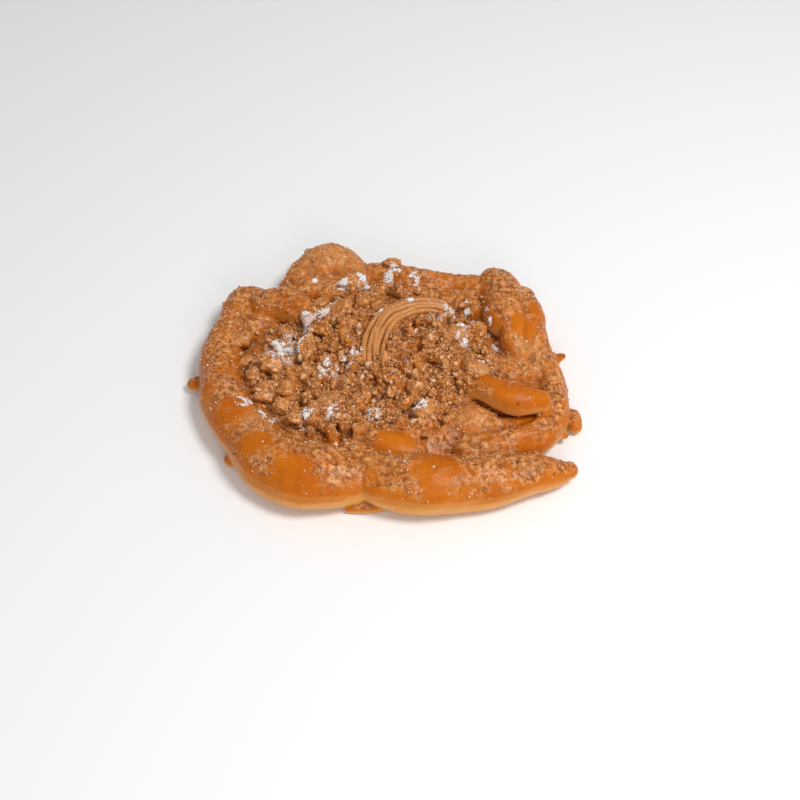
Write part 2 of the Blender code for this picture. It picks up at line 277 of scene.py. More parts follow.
# Raised dough inside the middle, which crumbs hardly cover: x, y, radius
RAISED = [
    (-54, 38, 8),
    (-46, 36, 9),
    (-40, 31, 6),
    (52, 46, 9),
    (52, 36, 9),
    (53, 27, 8),
    (59, 14, 8),
    (47, -18, 7),
    (57, -22, 9),
    (37, -27, 9),
    (2.5, -42, 7),
]

# Where the dough stayed pale and yellow: x, y, radius
PALE_PATCHES = [
    (-29, 64, 13),
    (-18, 58, 8),
    (37, -28, 9),
    (61, 8, 7),
    (-57, -28, 8),
]

# Where powdered sugar lies thick: x, y, radius
SUGAR_PILES = [
    (-45.5, 6, 7.5),
    (-40, 12, 5.5),
    (-36, 18, 3.2),
    (-30, 27, 3.2),
    (-25.5, 34.5, 2.8),
    (-24, -5.5, 4.5),
    (-18, 0, 3),
    (-13, 5, 2.4),
    (-20, 46, 3),
    (-12, 48, 3),
    (3, 52, 4),
    (12, 50, 3),
    (-60, -22, 3),
    (-48, -29, 3),
    (-33, -30, 3),
    (-22, -29, 3),
    (40, 26, 4),
    (33, 20, 3),
    (22, 24, 4),
    (28, 30, 3),
    (40, -4, 2.5),
    (14, -26, 3),
    (-5, -29, 3),
    (48, 14, 2),
    (33, 8, 3),
]

# Single dots of powdered sugar: x, y, radius
SUGAR_DOTS = [
    (10.5, 33.5, 1.5),
    (-3.5, 27, 1.7),
    (-27, 29, 1.6),
    (-35, 22, 1.4),
    (-52, -25, 1.2),
    (36, 33, 1.1),
    (45, 22, 1.2),
    (-9, 46, 1.2),
    (-33, 51, 1.2),
]


def scene_link(obj):
    """Puts a new object into the scene."""
    bpy.context.scene.collection.objects.link(obj)
    return obj


def round_end(last, before):
    """The rings that close a strand, from its last ring outwards."""
    outward = (last - before).to_3d().normalized()
    rings = []
    for reach in END_RINGS:
        centre = last.to_3d() + outward * last.w * reach
        rings.append(Vector((*centre, last.w * math.sqrt(1 - reach * reach))))
    return rings


def rings_through(points, step):
    """A smooth curve through a strand's points, with its radius, as rings from end to end."""
    knots = [Vector(point) for point in points]
    knots = [2 * knots[0] - knots[1], *knots, 2 * knots[-1] - knots[-2]]
    rings = []
    for a, b, c, d in zip(knots, knots[1:], knots[2:], knots[3:]):
        count = max(2, round((c - b).to_3d().length / (step * min(b.w, c.w))))
        for i in range(count):
            t = i / count
            bend = (2 * a - 5 * b + 4 * c - d) * t**2 + (3 * b - a - 3 * c + d) * t**3
            rings.append((2 * b + (c - a) * t + bend) / 2)
    rings.append(knots[-2])
    start = round_end(rings[0], rings[1])
    return start[::-1] + rings + round_end(rings[-1], rings[-2])


def uneven(at):
    """Where the slow wobble and the blisters of the dough move a point to."""
    slow = noise.noise_vector(at / WOBBLE_WAVE) * WOBBLE
    fine = noise.noise_vector(at / BLISTER_WAVE) * BLISTER
    return at + slow + fine


def strand(shape, points):
    """Adds a tube of dough through the points, closed by a round end at both ends."""
    curve = bpy.data.curves.new("route", "CURVE")
    curve.dimensions = "3D"
    curve.bevel_depth = 1  # each point's own radius multiplies it
    curve.bevel_resolution = STRAND_SIDES
    curve.use_fill_caps = True
    rings = rings_through(points, STRAND_STEP)
    spline = curve.splines.new("POLY")
    spline.points.add(len(rings) - 1)
    for point, ring in zip(spline.points, rings):
        point.co = (*ring.to_3d(), 1)
        point.radius = ring.w
    route = scene_link(bpy.data.objects.new("route", curve))
    graph = bpy.context.evaluated_depsgraph_get()
    mesh = bpy.data.meshes.new_from_object(route.evaluated_get(graph))
    bpy.data.objects.remove(route)
    tube = bmesh.new()
    tube.from_mesh(mesh)
    bmesh.ops.remove_doubles(tube, verts=tube.verts, dist=WELD)
    for vert in tube.verts:
        vert.co = uneven(vert.co)
    tube.to_mesh(mesh)
    tube.free()
    shape.from_mesh(mesh)
    bpy.data.meshes.remove(mesh)


def ball(shape, centre, half_size):
    """Adds a squashed ball of dough with a flat top."""
    made = bmesh.ops.create_uvsphere(shape, u_segments=96, v_segments=48, radius=1)
    for vert in made["verts"]:
        at = vert.co
        at.z = math.copysign(abs(at.z) ** FLATNESS, at.z)
        vert.co = uneven(Vector(c + h * part for c, h, part in zip(centre, half_size, at)))


def top_of(centre, half_size, x, y):
    """The height of a squashed ball's flat top above a place."""
    across = ((x - centre[0]) / half_size[0]) ** 2
    along = ((y - centre[1]) / half_size[1]) ** 2
    return centre[2] + half_size[2] * np.sqrt(np.maximum(1 - across - along, 0)) ** FLATNESS


def loop_points():
    """Small loops of batter, one after another round an oval."""
    points = []
    for i in range(LOOP_COUNT * LOOP_POINTS):
        turn = math.tau * i / (LOOP_COUNT * LOOP_POINTS)
        x = PAD_CENTRE[0] + LOOP_ROUTE[0] * math.cos(turn) + LOOP_REACH * math.cos(LOOP_COUNT * turn)
        y = PAD_CENTRE[1] + LOOP_ROUTE[1] * math.sin(turn) + LOOP_REACH * math.sin(LOOP_COUNT * turn)
        rise = LOOP_RISE * math.sin(LOOP_WAVES * turn)
        points.append((x, y, top_of(PAD_CENTRE, PAD_HALF_SIZE, x, y) + rise, LOOP_RADIUS))
    return points


def swirl_points(radius, height, thickness, sway=0.0, start=0.0):
    """One strand of the swirl, which sinks between the crumbs at both ends.

    Sway is how far it strays from its arc, and start shifts where it does so.
    """
    points = []
    for i in range(SWIRL_POINTS):
        share = i / (SWIRL_POINTS - 1)
        angle = math.radians(SWIRL_ANGLES[0] + (SWIRL_ANGLES[1] - SWIRL_ANGLES[0]) * share)
        away = radius + sway * math.sin(7 * share + start)
        dip = SWIRL_DIP * (2 * share - 1) ** 4
        x = SWIRL_MIDDLE[0] + away * math.cos(angle)
        y = SWIRL_MIDDLE[1] + away * math.sin(angle)
        points.append((x, y, height - dip, thickness * (1 + 0.15 * sway * math.sin(11 * share + start))))
    return points


def make_ribbons():
    """The fine ribbons of the swirl, each a little uneven."""
    shape = bmesh.new()
    middle = SWIRL_RADII[len(SWIRL_RADII) // 2]
    for i, radius in enumerate(SWIRL_RADII):
        height = SWIRL_HEIGHT - SWIRL_ARCH * (radius - middle) ** 2
        strand(shape, swirl_points(radius, height, RIBBON_RADIUS, RIBBON_SWAY, 2.3 * i))
    mesh = bpy.data.meshes.new("ribbons")
    shape.to_mesh(mesh)
    shape.free()
    points = points_of(mesh)
    add_attribute(mesh, "tint", 0.5 + 0.5 * noise_at(points, 5))
    add_attribute(mesh, "powder", VEIL_ON_RIBBONS * powder_veil(points))
    set_points(mesh, (points - np.array(LAYOUT_MIDDLE)) * MM)
    mesh.shade_smooth()
    return scene_link(bpy.data.objects.new("ribbons", mesh))


def fused(shape, name):
    """One closed skin over overlapping shapes, by voxels."""
    mesh = bpy.data.meshes.new(name)
    shape.to_mesh(mesh)
    shape.free()
    obj = scene_link(bpy.data.objects.new(name, mesh))
    remesh = obj.modifiers.new("fuse", "REMESH")
    remesh.mode = "VOXEL"
    remesh.voxel_size = VOXEL
    graph = bpy.context.evaluated_depsgraph_get()
    skin = bpy.data.meshes.new_from_object(obj.evaluated_get(graph))
    obj.modifiers.clear()
    obj.data = skin
    bpy.data.meshes.remove(mesh)
    return obj


def points_of(mesh):
    """A mesh's points, one in each row."""
    flat = np.empty(len(mesh.vertices) * 3, np.float32)
    mesh.vertices.foreach_get("co", flat)
    return flat.reshape(-1, 3).astype(float)


def normals_of(mesh):
    """The normals at a mesh's points."""
    flat = np.empty(len(mesh.vertices) * 3, np.float32)
    mesh.vertex_normals.foreach_get("vector", flat)
    return flat.reshape(-1, 3).astype(float)


def edges_of(mesh):
    """The two points of each edge of a mesh, by number."""
    flat = np.empty(len(mesh.edges) * 2, np.int32)
    mesh.edges.foreach_get("vertices", flat)
    return flat.reshape(-1, 2)


def set_points(mesh, points):
    """Moves a mesh's points."""
    mesh.vertices.foreach_set("co", points.astype(np.float32).ravel())
    mesh.update()


def smoothed(values, edges, times):
    """Values of points, averaged with those of their neighbours, this many times."""
    a, b = edges.T
    count = np.bincount(edges.ravel(), minlength=len(values)) + 1.0
    for _ in range(times):
        total = values.copy()
        for axis in range(values.shape[1]):
            total[:, axis] += np.bincount(a, values[b, axis], len(values))
            total[:, axis] += np.bincount(b, values[a, axis], len(values))
        values = total / count[:, None]
    return values


def noise_at(points, wave, shift=0.0):
    """Smooth noise from -1 to 1 at each point; features are about a wave across."""
    return np.array([noise.noise(at) for at in points / wave + shift])


def lumps_at(points, wave):
    """Round lumps about a wave across, from 1 at a lump's top to 0 in the crevices between."""
    near = np.array([noise.voronoi(at)[0][:2] for at in (points / wave).tolist()])
    return np.clip((near[:, 1] - near[:, 0]) * 1.6, 0, 1)


def ramp(values, low, high):
    """0 below low, 1 above high, and a soft step between."""
    t = np.clip((values - low) / (high - low), 0, 1)
    return t * t * (3 - 2 * t)


def patches(points, spots, softness=0.5):
    """1 inside round spots, fading to 0 past their edge."""
    found = np.zeros(len(points))
    for x, y, radius in spots:
        away = np.hypot(points[:, 0] - x, points[:, 1] - y) / radius
        found = np.maximum(found, 1 - ramp(away, 1 - softness, 1 + softness))
    return found


def interior(points):
    """1 over the crumb-filled middle, 0 on the rim strands and the raised dough."""
    across = np.hypot(*((points[:, :2] - MIDDLE_CENTRE) / MIDDLE_HALF_SIZE).T)
    inside = 1 - ramp(across + 0.08 * noise_at(points, 12), 0.84, 1.0)
    return inside * (1 - 0.9 * patches(points, RAISED, 0.35))


def on_swirl(points):
    """1 on the ribbons of the swirl."""
    x = points[:, 0] - SWIRL_MIDDLE[0]
    y = points[:, 1] - SWIRL_MIDDLE[1]
    across = np.abs(np.hypot(x, y) - SWIRL_BED[0])
    turn = np.degrees(np.arctan2(y, x)) % 360
    along = ramp(turn, SWIRL_ANGLES[1] - 6, SWIRL_ANGLES[1] + 4)
    along *= 1 - ramp(turn, SWIRL_ANGLES[0] - 10, SWIRL_ANGLES[0] + 2)
    return (1 - ramp(across, *SWIRL_EDGE)) * along


def sugar_coat(points, normals):
    """How thickly cinnamon sugar covers the dough: on top, not on flanks or bare patches."""
    up = ramp(normals[:, 2] + 0.3 * noise_at(points, 6) + 0.2 * noise_at(points, 2.5), 0.3, 0.95)
    patchy = 0.8 + 0.55 * noise_at(points, 11) + 0.6 * noise_at(points, 3.2)
    return np.clip(up * patchy - 0.95 * patches(points, BARE_PATCHES), 0, 1)


def powder_veil(points):
    """How white powdered sugar makes a place."""
    clumps = ramp(noise_at(points, 3.0) + 0.6 * noise_at(points, 1.3), -0.2, 0.4)
    return np.maximum(patches(points, SUGAR_PILES, 0.5) * clumps, patches(points, SUGAR_DOTS, 0.35))


def add_attribute(mesh, name, values):
    """Keeps one value for each point, for a material to read."""
    attribute = mesh.attributes.new(name, "FLOAT", "POINT")
    attribute.data.foreach_set("value", values.astype(np.float32))


def add_lumps(shape, draw):
    """Craggy lumps of batter, set into the pad and the mound."""
    turn = draw.uniform(0, math.tau, LUMP_COUNT)
    out = np.sqrt(draw.random(LUMP_COUNT))
    x = PAD_CENTRE[0] + LUMP_AREA[0] * out * np.cos(turn)
    y = PAD_CENTRE[1] + LUMP_AREA[1] * out * np.sin(turn)
    pad = top_of(PAD_CENTRE, PAD_HALF_SIZE, x, y)
    mound = top_of(MOUND_CENTRE, MOUND_HALF_SIZE, x, y)
    radius = LUMP_RADII[0] + (LUMP_RADII[1] - LUMP_RADII[0]) * draw.random(LUMP_COUNT) ** 1.6
    z = np.maximum(pad, mound) + draw.uniform(-0.1, 0.6, LUMP_COUNT) * radius
    places = np.stack([x, y, z], 1)
    kept = (on_swirl(places) < 0.2) & (interior(places) > 0.5)
    verts, faces = ball_template(3)
    lumps = chipped(verts, draw, LUMP_COUNT, 0.3, 5)[kept] * radius[kept, None, None]
    lumps += places[kept, None]
    mesh = new_mesh("lumps", lumps.reshape(-1, 3), repeated(faces, len(lumps), len(verts)))
    shape.from_mesh(mesh)
    bpy.data.meshes.remove(mesh)


def relief(points, coat, middle):
    """How far crags and crust stand out from the smooth dough."""
    slow, coarse, fine = (noise_at(points, wave) for wave in CRUST_WAVES)
    large_crags, small_crags = (lumps_at(points, wave) for wave in CRAG_WAVES)
    crags = large_crags * CRAG_HEIGHTS[0] + small_crags * CRAG_HEIGHTS[1] - CRAG_SINK
    fine = fine * (0.24 * middle + 0.1 * coat)
    coarse = coarse * (0.35 * middle + 0.45 * coat)
    return middle * crags + fine + coarse + (0.12 + 0.4 * coat) * slow


def inward_of(points, normals, edges, times):
    """How far each point lies below the smoothed surface around it."""
    return ((smoothed(points, edges, times) - points) * normals).sum(1)


def make_dough(draw):
    """The strands, pad and swirl fused into one skin, smoothed, and crusted where crumbs cover it."""
    shape = bmesh.new()
    for points in [*STRANDS.values(), *DRIPS.values()]:
        strand(shape, points)
    strand(shape, swirl_points(*SWIRL_BED))
    strand(shape, loop_points())
    ball(shape, MOUND_CENTRE, MOUND_HALF_SIZE)
    ball(shape, PAD_CENTRE, PAD_HALF_SIZE)
    add_lumps(shape, draw)
    obj = fused(shape, "dough")
    mesh = obj.data
    edges = edges_of(mesh)
    points = smoothed(points_of(mesh), edges, 1)
    set_points(mesh, points)
    normals = normals_of(mesh)
    coat = sugar_coat(points, normals)
    middle = interior(points) * ramp(normals[:, 2], -0.1, 0.3) * ramp(points[:, 2], 8, 12)
    middle *= (1 - on_swirl(points)) * (1 - patches(points, BARE_PATCHES))
    crusted = points + normals * relief(points, coat, middle)[:, None]
    crusted = np.clip(crusted, BOX_LOW, BOX_HIGH)
    # painted shade: how far a point lies in a crease, which darkens the dough's colour there
    painted_crease_shade = inward_of(crusted, normals, edges, 8)
    # painted shade: how deep a place lies below its wider surroundings, which darkens it
    painted_deep_shade = inward_of(crusted, normals, edges, 60)
    pale = patches(points, PALE_PATCHES, 0.7) * (1 - patches(points, BARE_PATCHES))
    add_attribute(mesh, "coat", coat)
    add_attribute(mesh, "middle", middle)
    add_attribute(mesh, "painted_crease_shade", np.clip(painted_crease_shade / 0.5, -1, 1) * (0.45 + 0.55 * middle))
    add_attribute(mesh, "painted_deep_shade", np.clip(painted_deep_shade / 2.2, -1, 1))
    # painted light: steep flanks get a paler gold, standing in for light bounced up from the floor
    add_attribute(mesh, "painted_flank_light", ramp(normals[:, 2], 0.5, -0.3))
    add_attribute(mesh, "pale", pale)
    add_attribute(mesh, "powder", powder_veil(points) * ramp(normals[:, 2], 0, 0.5))
    set_points(mesh, (crusted - np.array(LAYOUT_MIDDLE)) * MM)
    mesh.shade_smooth()
    return obj


def ball_template(subdivisions):
    """The points and triangles of a ball."""
    shape = bmesh.new()
    bmesh.ops.create_icosphere(shape, subdivisions=subdivisions, radius=1)
    verts = np.array([vert.co for vert in shape.verts])
    faces = np.array([[vert.index for vert in face.verts] for face in shape.faces])
    shape.free()
    return verts, faces


def octahedron_template():
    """The smallest grains: six points and eight faces."""
    verts = np.concatenate([np.eye(3), -np.eye(3)])
    faces = []
    for x, y, z in ((0, 1, 2), (1, 3, 2), (3, 4, 2), (4, 0, 2)):
        faces += [(x, y, z), (y, x, z + 3)]
    return verts, np.array(faces)


def turns(draw, count):
    """Random rotation matrices."""
    q = draw.normal(size=(count, 4))
    w, x, y, z = (q / np.linalg.norm(q, axis=1, keepdims=True)).T
    return np.stack(
        [
            np.stack([1 - 2 * (y * y + z * z), 2 * (x * y - z * w), 2 * (x * z + y * w)], 1),
            np.stack([2 * (x * y + z * w), 1 - 2 * (x * x + z * z), 2 * (y * z - x * w)], 1),
            np.stack([2 * (x * z - y * w), 2 * (y * z + x * w), 1 - 2 * (x * x + y * y)], 1),
        ],
        1,
    )


def new_mesh(name, verts, faces, **attributes):
    """A mesh of triangles, with a value for each point under each attribute's name."""
    mesh = bpy.data.meshes.new(name)
    mesh.vertices.add(len(verts))
    mesh.vertices.foreach_set("co", verts.astype(np.float32).ravel())
    mesh.loops.add(faces.size)
    mesh.loops.foreach_set("vertex_index", faces.astype(np.int32).ravel())
    mesh.polygons.add(len(faces))
    mesh.polygons.foreach_set("loop_start", np.arange(0, faces.size, 3, dtype=np.int32))
    mesh.update(calc_edges=True)
    for key, values in attributes.items():
        add_attribute(mesh, key, values)
    return mesh


def repeated(faces, count, step):
    """The triangles of some copies of a shape with this many points."""
    return (faces[None] + (np.arange(count) * step)[:, None, None]).reshape(-1, 3)


def landing_samples(grounds, draw, count, density):
    """Random places on some meshes, in mm, with their normals: more where density says so."""
    corners = []
    smooth = []
    for mesh in grounds:
        mesh.calc_loop_triangles()
        flat = np.empty(len(mesh.loop_triangles) * 3, np.int32)
        mesh.loop_triangles.foreach_get("vertices", flat)
        flat = flat.reshape(-1, 3)
        corners.append((points_of(mesh) / MM + np.array(LAYOUT_MIDDLE))[flat])
        smooth.append(normals_of(mesh)[flat].mean(1))
    a, b, c = np.concatenate(corners).transpose(1, 0, 2)
    smooth = np.concatenate(smooth)
    area = np.linalg.norm(np.cross(b - a, c - a), axis=1)
    weight = area * density((a + b + c) / 3, smooth)
    chosen = draw.choice(len(a), count, p=weight / weight.sum())
    u, v = draw.random((2, count))
    flip = u + v > 1
    u[flip], v[flip] = 1 - u[flip], 1 - v[flip]
    places = a[chosen] + (b - a)[chosen] * u[:, None] + (c - a)[chosen] * v[:, None]
    return places, smooth[chosen]


def chipped(verts, draw, count, lumps, chips, cuts=(0.35, 0.8)):
    """Copies of a ball, each with soft lumps and flat chipped faces of its own."""
    shape = np.ones((count, len(verts)))
    for _ in range(4):
        way = draw.normal(size=(count, 3)) * 1.6
        shape += lumps / 2 * np.sin(way @ verts.T + draw.uniform(0, math.tau, (count, 1)))
    made = verts[None] * shape[:, :, None]
    for _ in range(chips):
        face = draw.normal(size=(count, 3))
        face /= np.linalg.norm(face, axis=1, keepdims=True)
        over = np.einsum("nvi,ni->nv", made, face) - draw.uniform(*cuts, (count, 1))
        made -= np.maximum(over, 0)[..., None] * face[:, None]
    return made


def scatter(name, grounds, draw, count, sizes, density, template, sink, lumps=0.3, chips=0):
    """Loose grains as one mesh: each is lumpy, chipped, turned and sized by chance.

    Sink is how much of a grain's radius lies under the ground: at 1 its middle is level with it.
    """
    places, normals = landing_samples(grounds, draw, count, density)
    verts, faces = template
    low, high = sizes
    radius = low + (high - low) * draw.random(count) ** 2
    grains = chipped(verts, draw, count, lumps, chips) * draw.uniform(0.7, 1.3, (count, 1, 3))
    grains *= radius[:, None, None]
    grains = np.einsum("nij,nvj->nvi", turns(draw, count), grains)
    grains += (places + normals * (radius * (1 - sink))[:, None])[:, None]
    grains -= np.maximum(grains.max(1) - BOX_HIGH, 0)[:, None]
    grains += np.maximum(BOX_LOW - grains.min(1), 0)[:, None]
    tint = np.repeat(draw.random(count), len(verts))
    veil = np.repeat(VEIL_ON_PIECES * powder_veil(places), len(verts))
    at = (grains.reshape(-1, 3) - np.array(LAYOUT_MIDDLE)) * MM
    mesh = new_mesh(name, at, repeated(faces, count, len(verts)), tint=tint, powder=veil)
    return scene_link(bpy.data.objects.new(name, mesh))


def make_nuggets(ground):
    """The larger lumps of fried batter, each with its own bumps."""
    points = points_of(ground)
    tree = BVHTree.FromPolygons(points.tolist(), [tuple(p.vertices) for p in ground.polygons])
    verts, faces = ball_template(4)
    draw = np.random.default_rng(NUGGET_SEED)
    shapes = chipped(verts, draw, len(NUGGETS), 0.2, 7, (0.7, 0.95))
    all_verts = []
    tints = []
    for i, (x, y, *half_size, turn) in enumerate(NUGGETS.values()):
        above = (Vector((x, y, HIGH_ABOVE)) - LAYOUT_MIDDLE) * MM
        height = tree.ray_cast(above, Vector((0, 0, -1)))[0].z / MM
        z = min(height + NUGGET_RISE * half_size[2], BOX_HIGH[2] - half_size[2])
        centre = Vector((x, y, z))
        spin = Quaternion((0, 0, 1), math.radians(turn))
        for at in map(Vector, shapes[i].tolist()):
            bump = 1.12 + 0.12 * noise.noise(at * 2 + centre) + 0.08 * noise.noise(at * 5 + centre)
            bump += 0.05 * noise.noise(at * 11 + centre)
            moved = centre + spin @ Vector(h * bump * part for h, part in zip(half_size, at))
            all_verts.append(moved)
        tints.append(np.full(len(verts), (i * 0.618) % 1))
    points = np.clip(np.array(all_verts), BOX_LOW, BOX_HIGH)
    at = (points - np.array(LAYOUT_MIDDLE)) * MM
    veil = VEIL_ON_PIECES * powder_veil(points)
    tint = np.concatenate(tints)
    mesh = new_mesh("nuggets", at, repeated(faces, len(NUGGETS), len(verts)), tint=tint, powder=veil)
    mesh.shade_smooth()
    return scene_link(bpy.data.objects.new("nuggets", mesh))


def crumb_density(points, normals):
    """Crumbs lie in drifts in the middle, thinly on the rim, and thicker on a stretch of the left rim."""
    up = ramp(normals[:, 2], 0.1, 0.6)
    bare = patches(points, BARE_PATCHES, 0.4)
    drifts = ramp(noise_at(points, 9) + 0.6 * noise_at(points, 4), -0.5, 0.5)
    x, y = points[:, :2].T
    left = 0.3 * ramp(-x, 50, 58) * ramp(x, -76, -70) * (ramp(y, -14, -4) * ramp(-y, -34, -26))
    spread = np.maximum(interior(points) * (0.25 + 0.75 * drifts), (0.02 + left) * drifts)
    return up * spread * (1 - bare) * (1 - 0.97 * on_swirl(points))


def chunk_density(points, normals):
    """The rough chunks lie in the middle only."""
    return interior(points) ** 2 * ramp(normals[:, 2], 0.3, 0.7) * (1 - on_swirl(points))


def crystal_density(points, normals):
    """Cinnamon sugar lies on all that faces up, in patches."""
    up = ramp(normals[:, 2], 0.1, 0.75)
    broken = 0.05 + ramp(noise_at(points, 6) + 0.8 * noise_at(points, 2.5), -0.1, 0.7)
    broken *= 0.4 + 0.6 * interior(points)
    return up * broken * (1 - 0.8 * patches(points, BARE_PATCHES, 0.4)) * (1 - 0.6 * on_swirl(points))


def powder_density(points, normals):
    """Powdered sugar lies in its piles and dots, with a trace all over."""
    up = ramp(normals[:, 2], 0.1, 0.6)
    clumps = ramp(noise_at(points, 3.0) + 0.6 * noise_at(points, 1.3), -0.25, 0.35)
    piles = patches(points, SUGAR_PILES, 0.5) ** 1.5 * clumps
    return up * (np.maximum(piles, patches(points, SUGAR_DOTS, 0.35)) + 0.0015 * clumps)


def new_material(name):
    """A new material, its node tree and its shader."""
    material = bpy.data.materials.new(name)
    material.use_nodes = True
    tree = material.node_tree
    return material, tree, tree.nodes["Principled BSDF"]


def attribute_node(tree, name):
    """Reads a value that the mesh keeps for each point."""
    node = tree.nodes.new("ShaderNodeAttribute")
    node.attribute_name = name
    return node.outputs["Fac"]


def ramp_node(tree, value, *stops):
    """Turns a value into a colour: each stop is (value, colour)."""
    node = tree.nodes.new("ShaderNodeValToRGB")
    elements = node.color_ramp.elements
    while len(elements) < len(stops):
        elements.new(0.5)
    for element, (place, colour) in zip(elements, stops):
        element.position = place
        element.color = (*colour, 1)
    tree.links.new(value, node.inputs["Fac"])
    return node.outputs["Color"]


def map_node(tree, value, from_low, from_high, to_low, to_high):
    """Stretches one range of values onto another, and stops at its ends."""
    node = tree.nodes.new("ShaderNodeMapRange")
    node.inputs["From Min"].default_value = from_low
    node.inputs["From Max"].default_value = from_high
    node.inputs["To Min"].default_value = to_low
    node.inputs["To Max"].default_value = to_high
    tree.links.new(value, node.inputs["Value"])
    return node.outputs["Result"]


def mix_node(tree, factor, a, b, blend="MIX"):
    """Mixes two colours; each of the three may be a plain value or another node's output."""
    node = tree.nodes.new("ShaderNodeMix")
    node.data_type = "RGBA"
    node.blend_type = blend
    colour_a, colour_b = node.inputs[6], node.inputs[7]
    for socket, value in ((node.inputs["Factor"], factor), (colour_a, a), (colour_b, b)):
        if isinstance(value, (tuple, float)):
            socket.default_value = (*value, 1) if isinstance(value, tuple) else value
        else:
            tree.links.new(value, socket)
    return node.outputs[2]


def noise_node(tree, scale, detail=3.0, roughness=0.6):
    """Cloudy noise from 0 to 1; scale is about how many clouds fit into a metre."""
    place = tree.nodes.new("ShaderNodeTexCoord")
    node = tree.nodes.new("ShaderNodeTexNoise")
    node.inputs["Scale"].default_value = scale
    node.inputs["Detail"].default_value = detail
    node.inputs["Roughness"].default_value = roughness
    tree.links.new(place.outputs["Object"], node.inputs["Vector"])
    return node.outputs["Fac"]


def bump(tree, shader, *layers):
    """Stacks bumps: each layer is (height, distance in mm, strength)."""
    normal = None
    for height, distance, strength in layers:
        node = tree.nodes.new("ShaderNodeBump")
        node.inputs["Distance"].default_value = distance * MM
        node.inputs["Strength"].default_value = strength
        tree.links.new(height, node.inputs["Height"])
        if normal:
            tree.links.new(normal, node.inputs["Normal"])
        normal = node.outputs["Normal"]
    tree.links.new(normal, shader.inputs["Normal"])


# The colours of dough and sugar, as linear red, green and blue
GOLD = (0.56, 0.152, 0.005)
AMBER = (0.45, 0.10, 0.003)
# painted light: the paler gold of flanks lit by the floor's bounce
PAINTED_LIT_FLANK_GOLD = (0.74, 0.33, 0.080)
BROWNED = (0.45, 0.155, 0.030)
CARAMEL = (0.56, 0.235, 0.062)
PALE_DOUGH = (0.70, 0.33, 0.11)
CINNAMON = (0.50, 0.19, 0.045)
# the dark cinnamon brown of the crust's grain, also used as painted shade in creases and deep hollows
DARK_CINNAMON_AND_SHADE = (0.20, 0.050, 0.009)
# partly the sugar's own pinkish tone, partly a painted highlight on the grains
PINK_SUGAR_AND_HIGHLIGHT = (0.76, 0.36, 0.145)
WHITE_SUGAR = (0.93, 0.90, 0.89)
CLEAR = (1, 1, 1)  # what a multiplying mix leaves alone
SHADED = (0.55, 0.5, 0.45)

# Ramps from the darkest to the lightest shade
# the sugar specks: real cinnamon and sugar tones, partly painted shade at the dark end and painted
# highlight at the light end
SUGAR_GRAINS_LIT_AND_SHADED = (0.42, DARK_CINNAMON_AND_SHADE), (0.475, BROWNED), (0.525, CINNAMON), (0.575, PINK_SUGAR_AND_HIGHLIGHT)
CRUST_BODY = (0.4, DARK_CINNAMON_AND_SHADE), (0.5, BROWNED), (0.6, GOLD)
BATTER_BODY = (0.38, BROWNED), (0.5, GOLD), (0.62, CARAMEL)
NUGGET_BODY = (0.4, (0.40, 0.12, 0.016)), (0.5, (0.56, 0.21, 0.035)), (0.6, (0.68, 0.32, 0.09))
RIBBON_BODY = (0.35, (0.50, 0.19, 0.045)), (0.6, CARAMEL)
CRUMB_SHADES = (
    (0.0, (0.38, 0.12, 0.022)),
    (0.4, (0.58, 0.225, 0.05)),
    (0.8, (0.76, 0.38, 0.15)),
    (1.0, (0.86, 0.55, 0.34)),
)
CRYSTAL_SHADES = (
    (0.0, (0.52, 0.19, 0.05)),
    (0.5, (0.72, 0.33, 0.13)),
    (0.9, (0.84, 0.48, 0.27)),
    (1.0, (0.92, 0.72, 0.58)),
)
POWDER_SHADES = (0.0, (0.80, 0.76, 0.75)), (0.6, (0.95, 0.94, 0.93))


def soften(shader, weight, scale):
    """Lets light through the outer dough, which glows orange."""
    shader.inputs["Subsurface Weight"].default_value = weight
    shader.inputs["Subsurface Radius"].default_value = (1.0, 0.4, 0.12)
    shader.inputs["Subsurface Scale"].default_value = scale * MM


def sugar_specks_lit_and_shaded(tree, colour, speck):
    """Cinnamon sugar stuck to dough: dark between its grains, pinkish on them. This is partly the
    cinnamon's and the sugar's own tone, and partly painted shade between the grains and painted highlight
    on them.
    """
    return mix_node(tree, 0.75, colour, ramp_node(tree, speck, *SUGAR_GRAINS_LIT_AND_SHADED))


def powdered(tree, colour):
    """White where powdered sugar lies."""
    veil = map_node(tree, attribute_node(tree, "powder"), 0.1, 0.9, 0, 0.85)
    return mix_node(tree, veil, colour, WHITE_SUGAR)


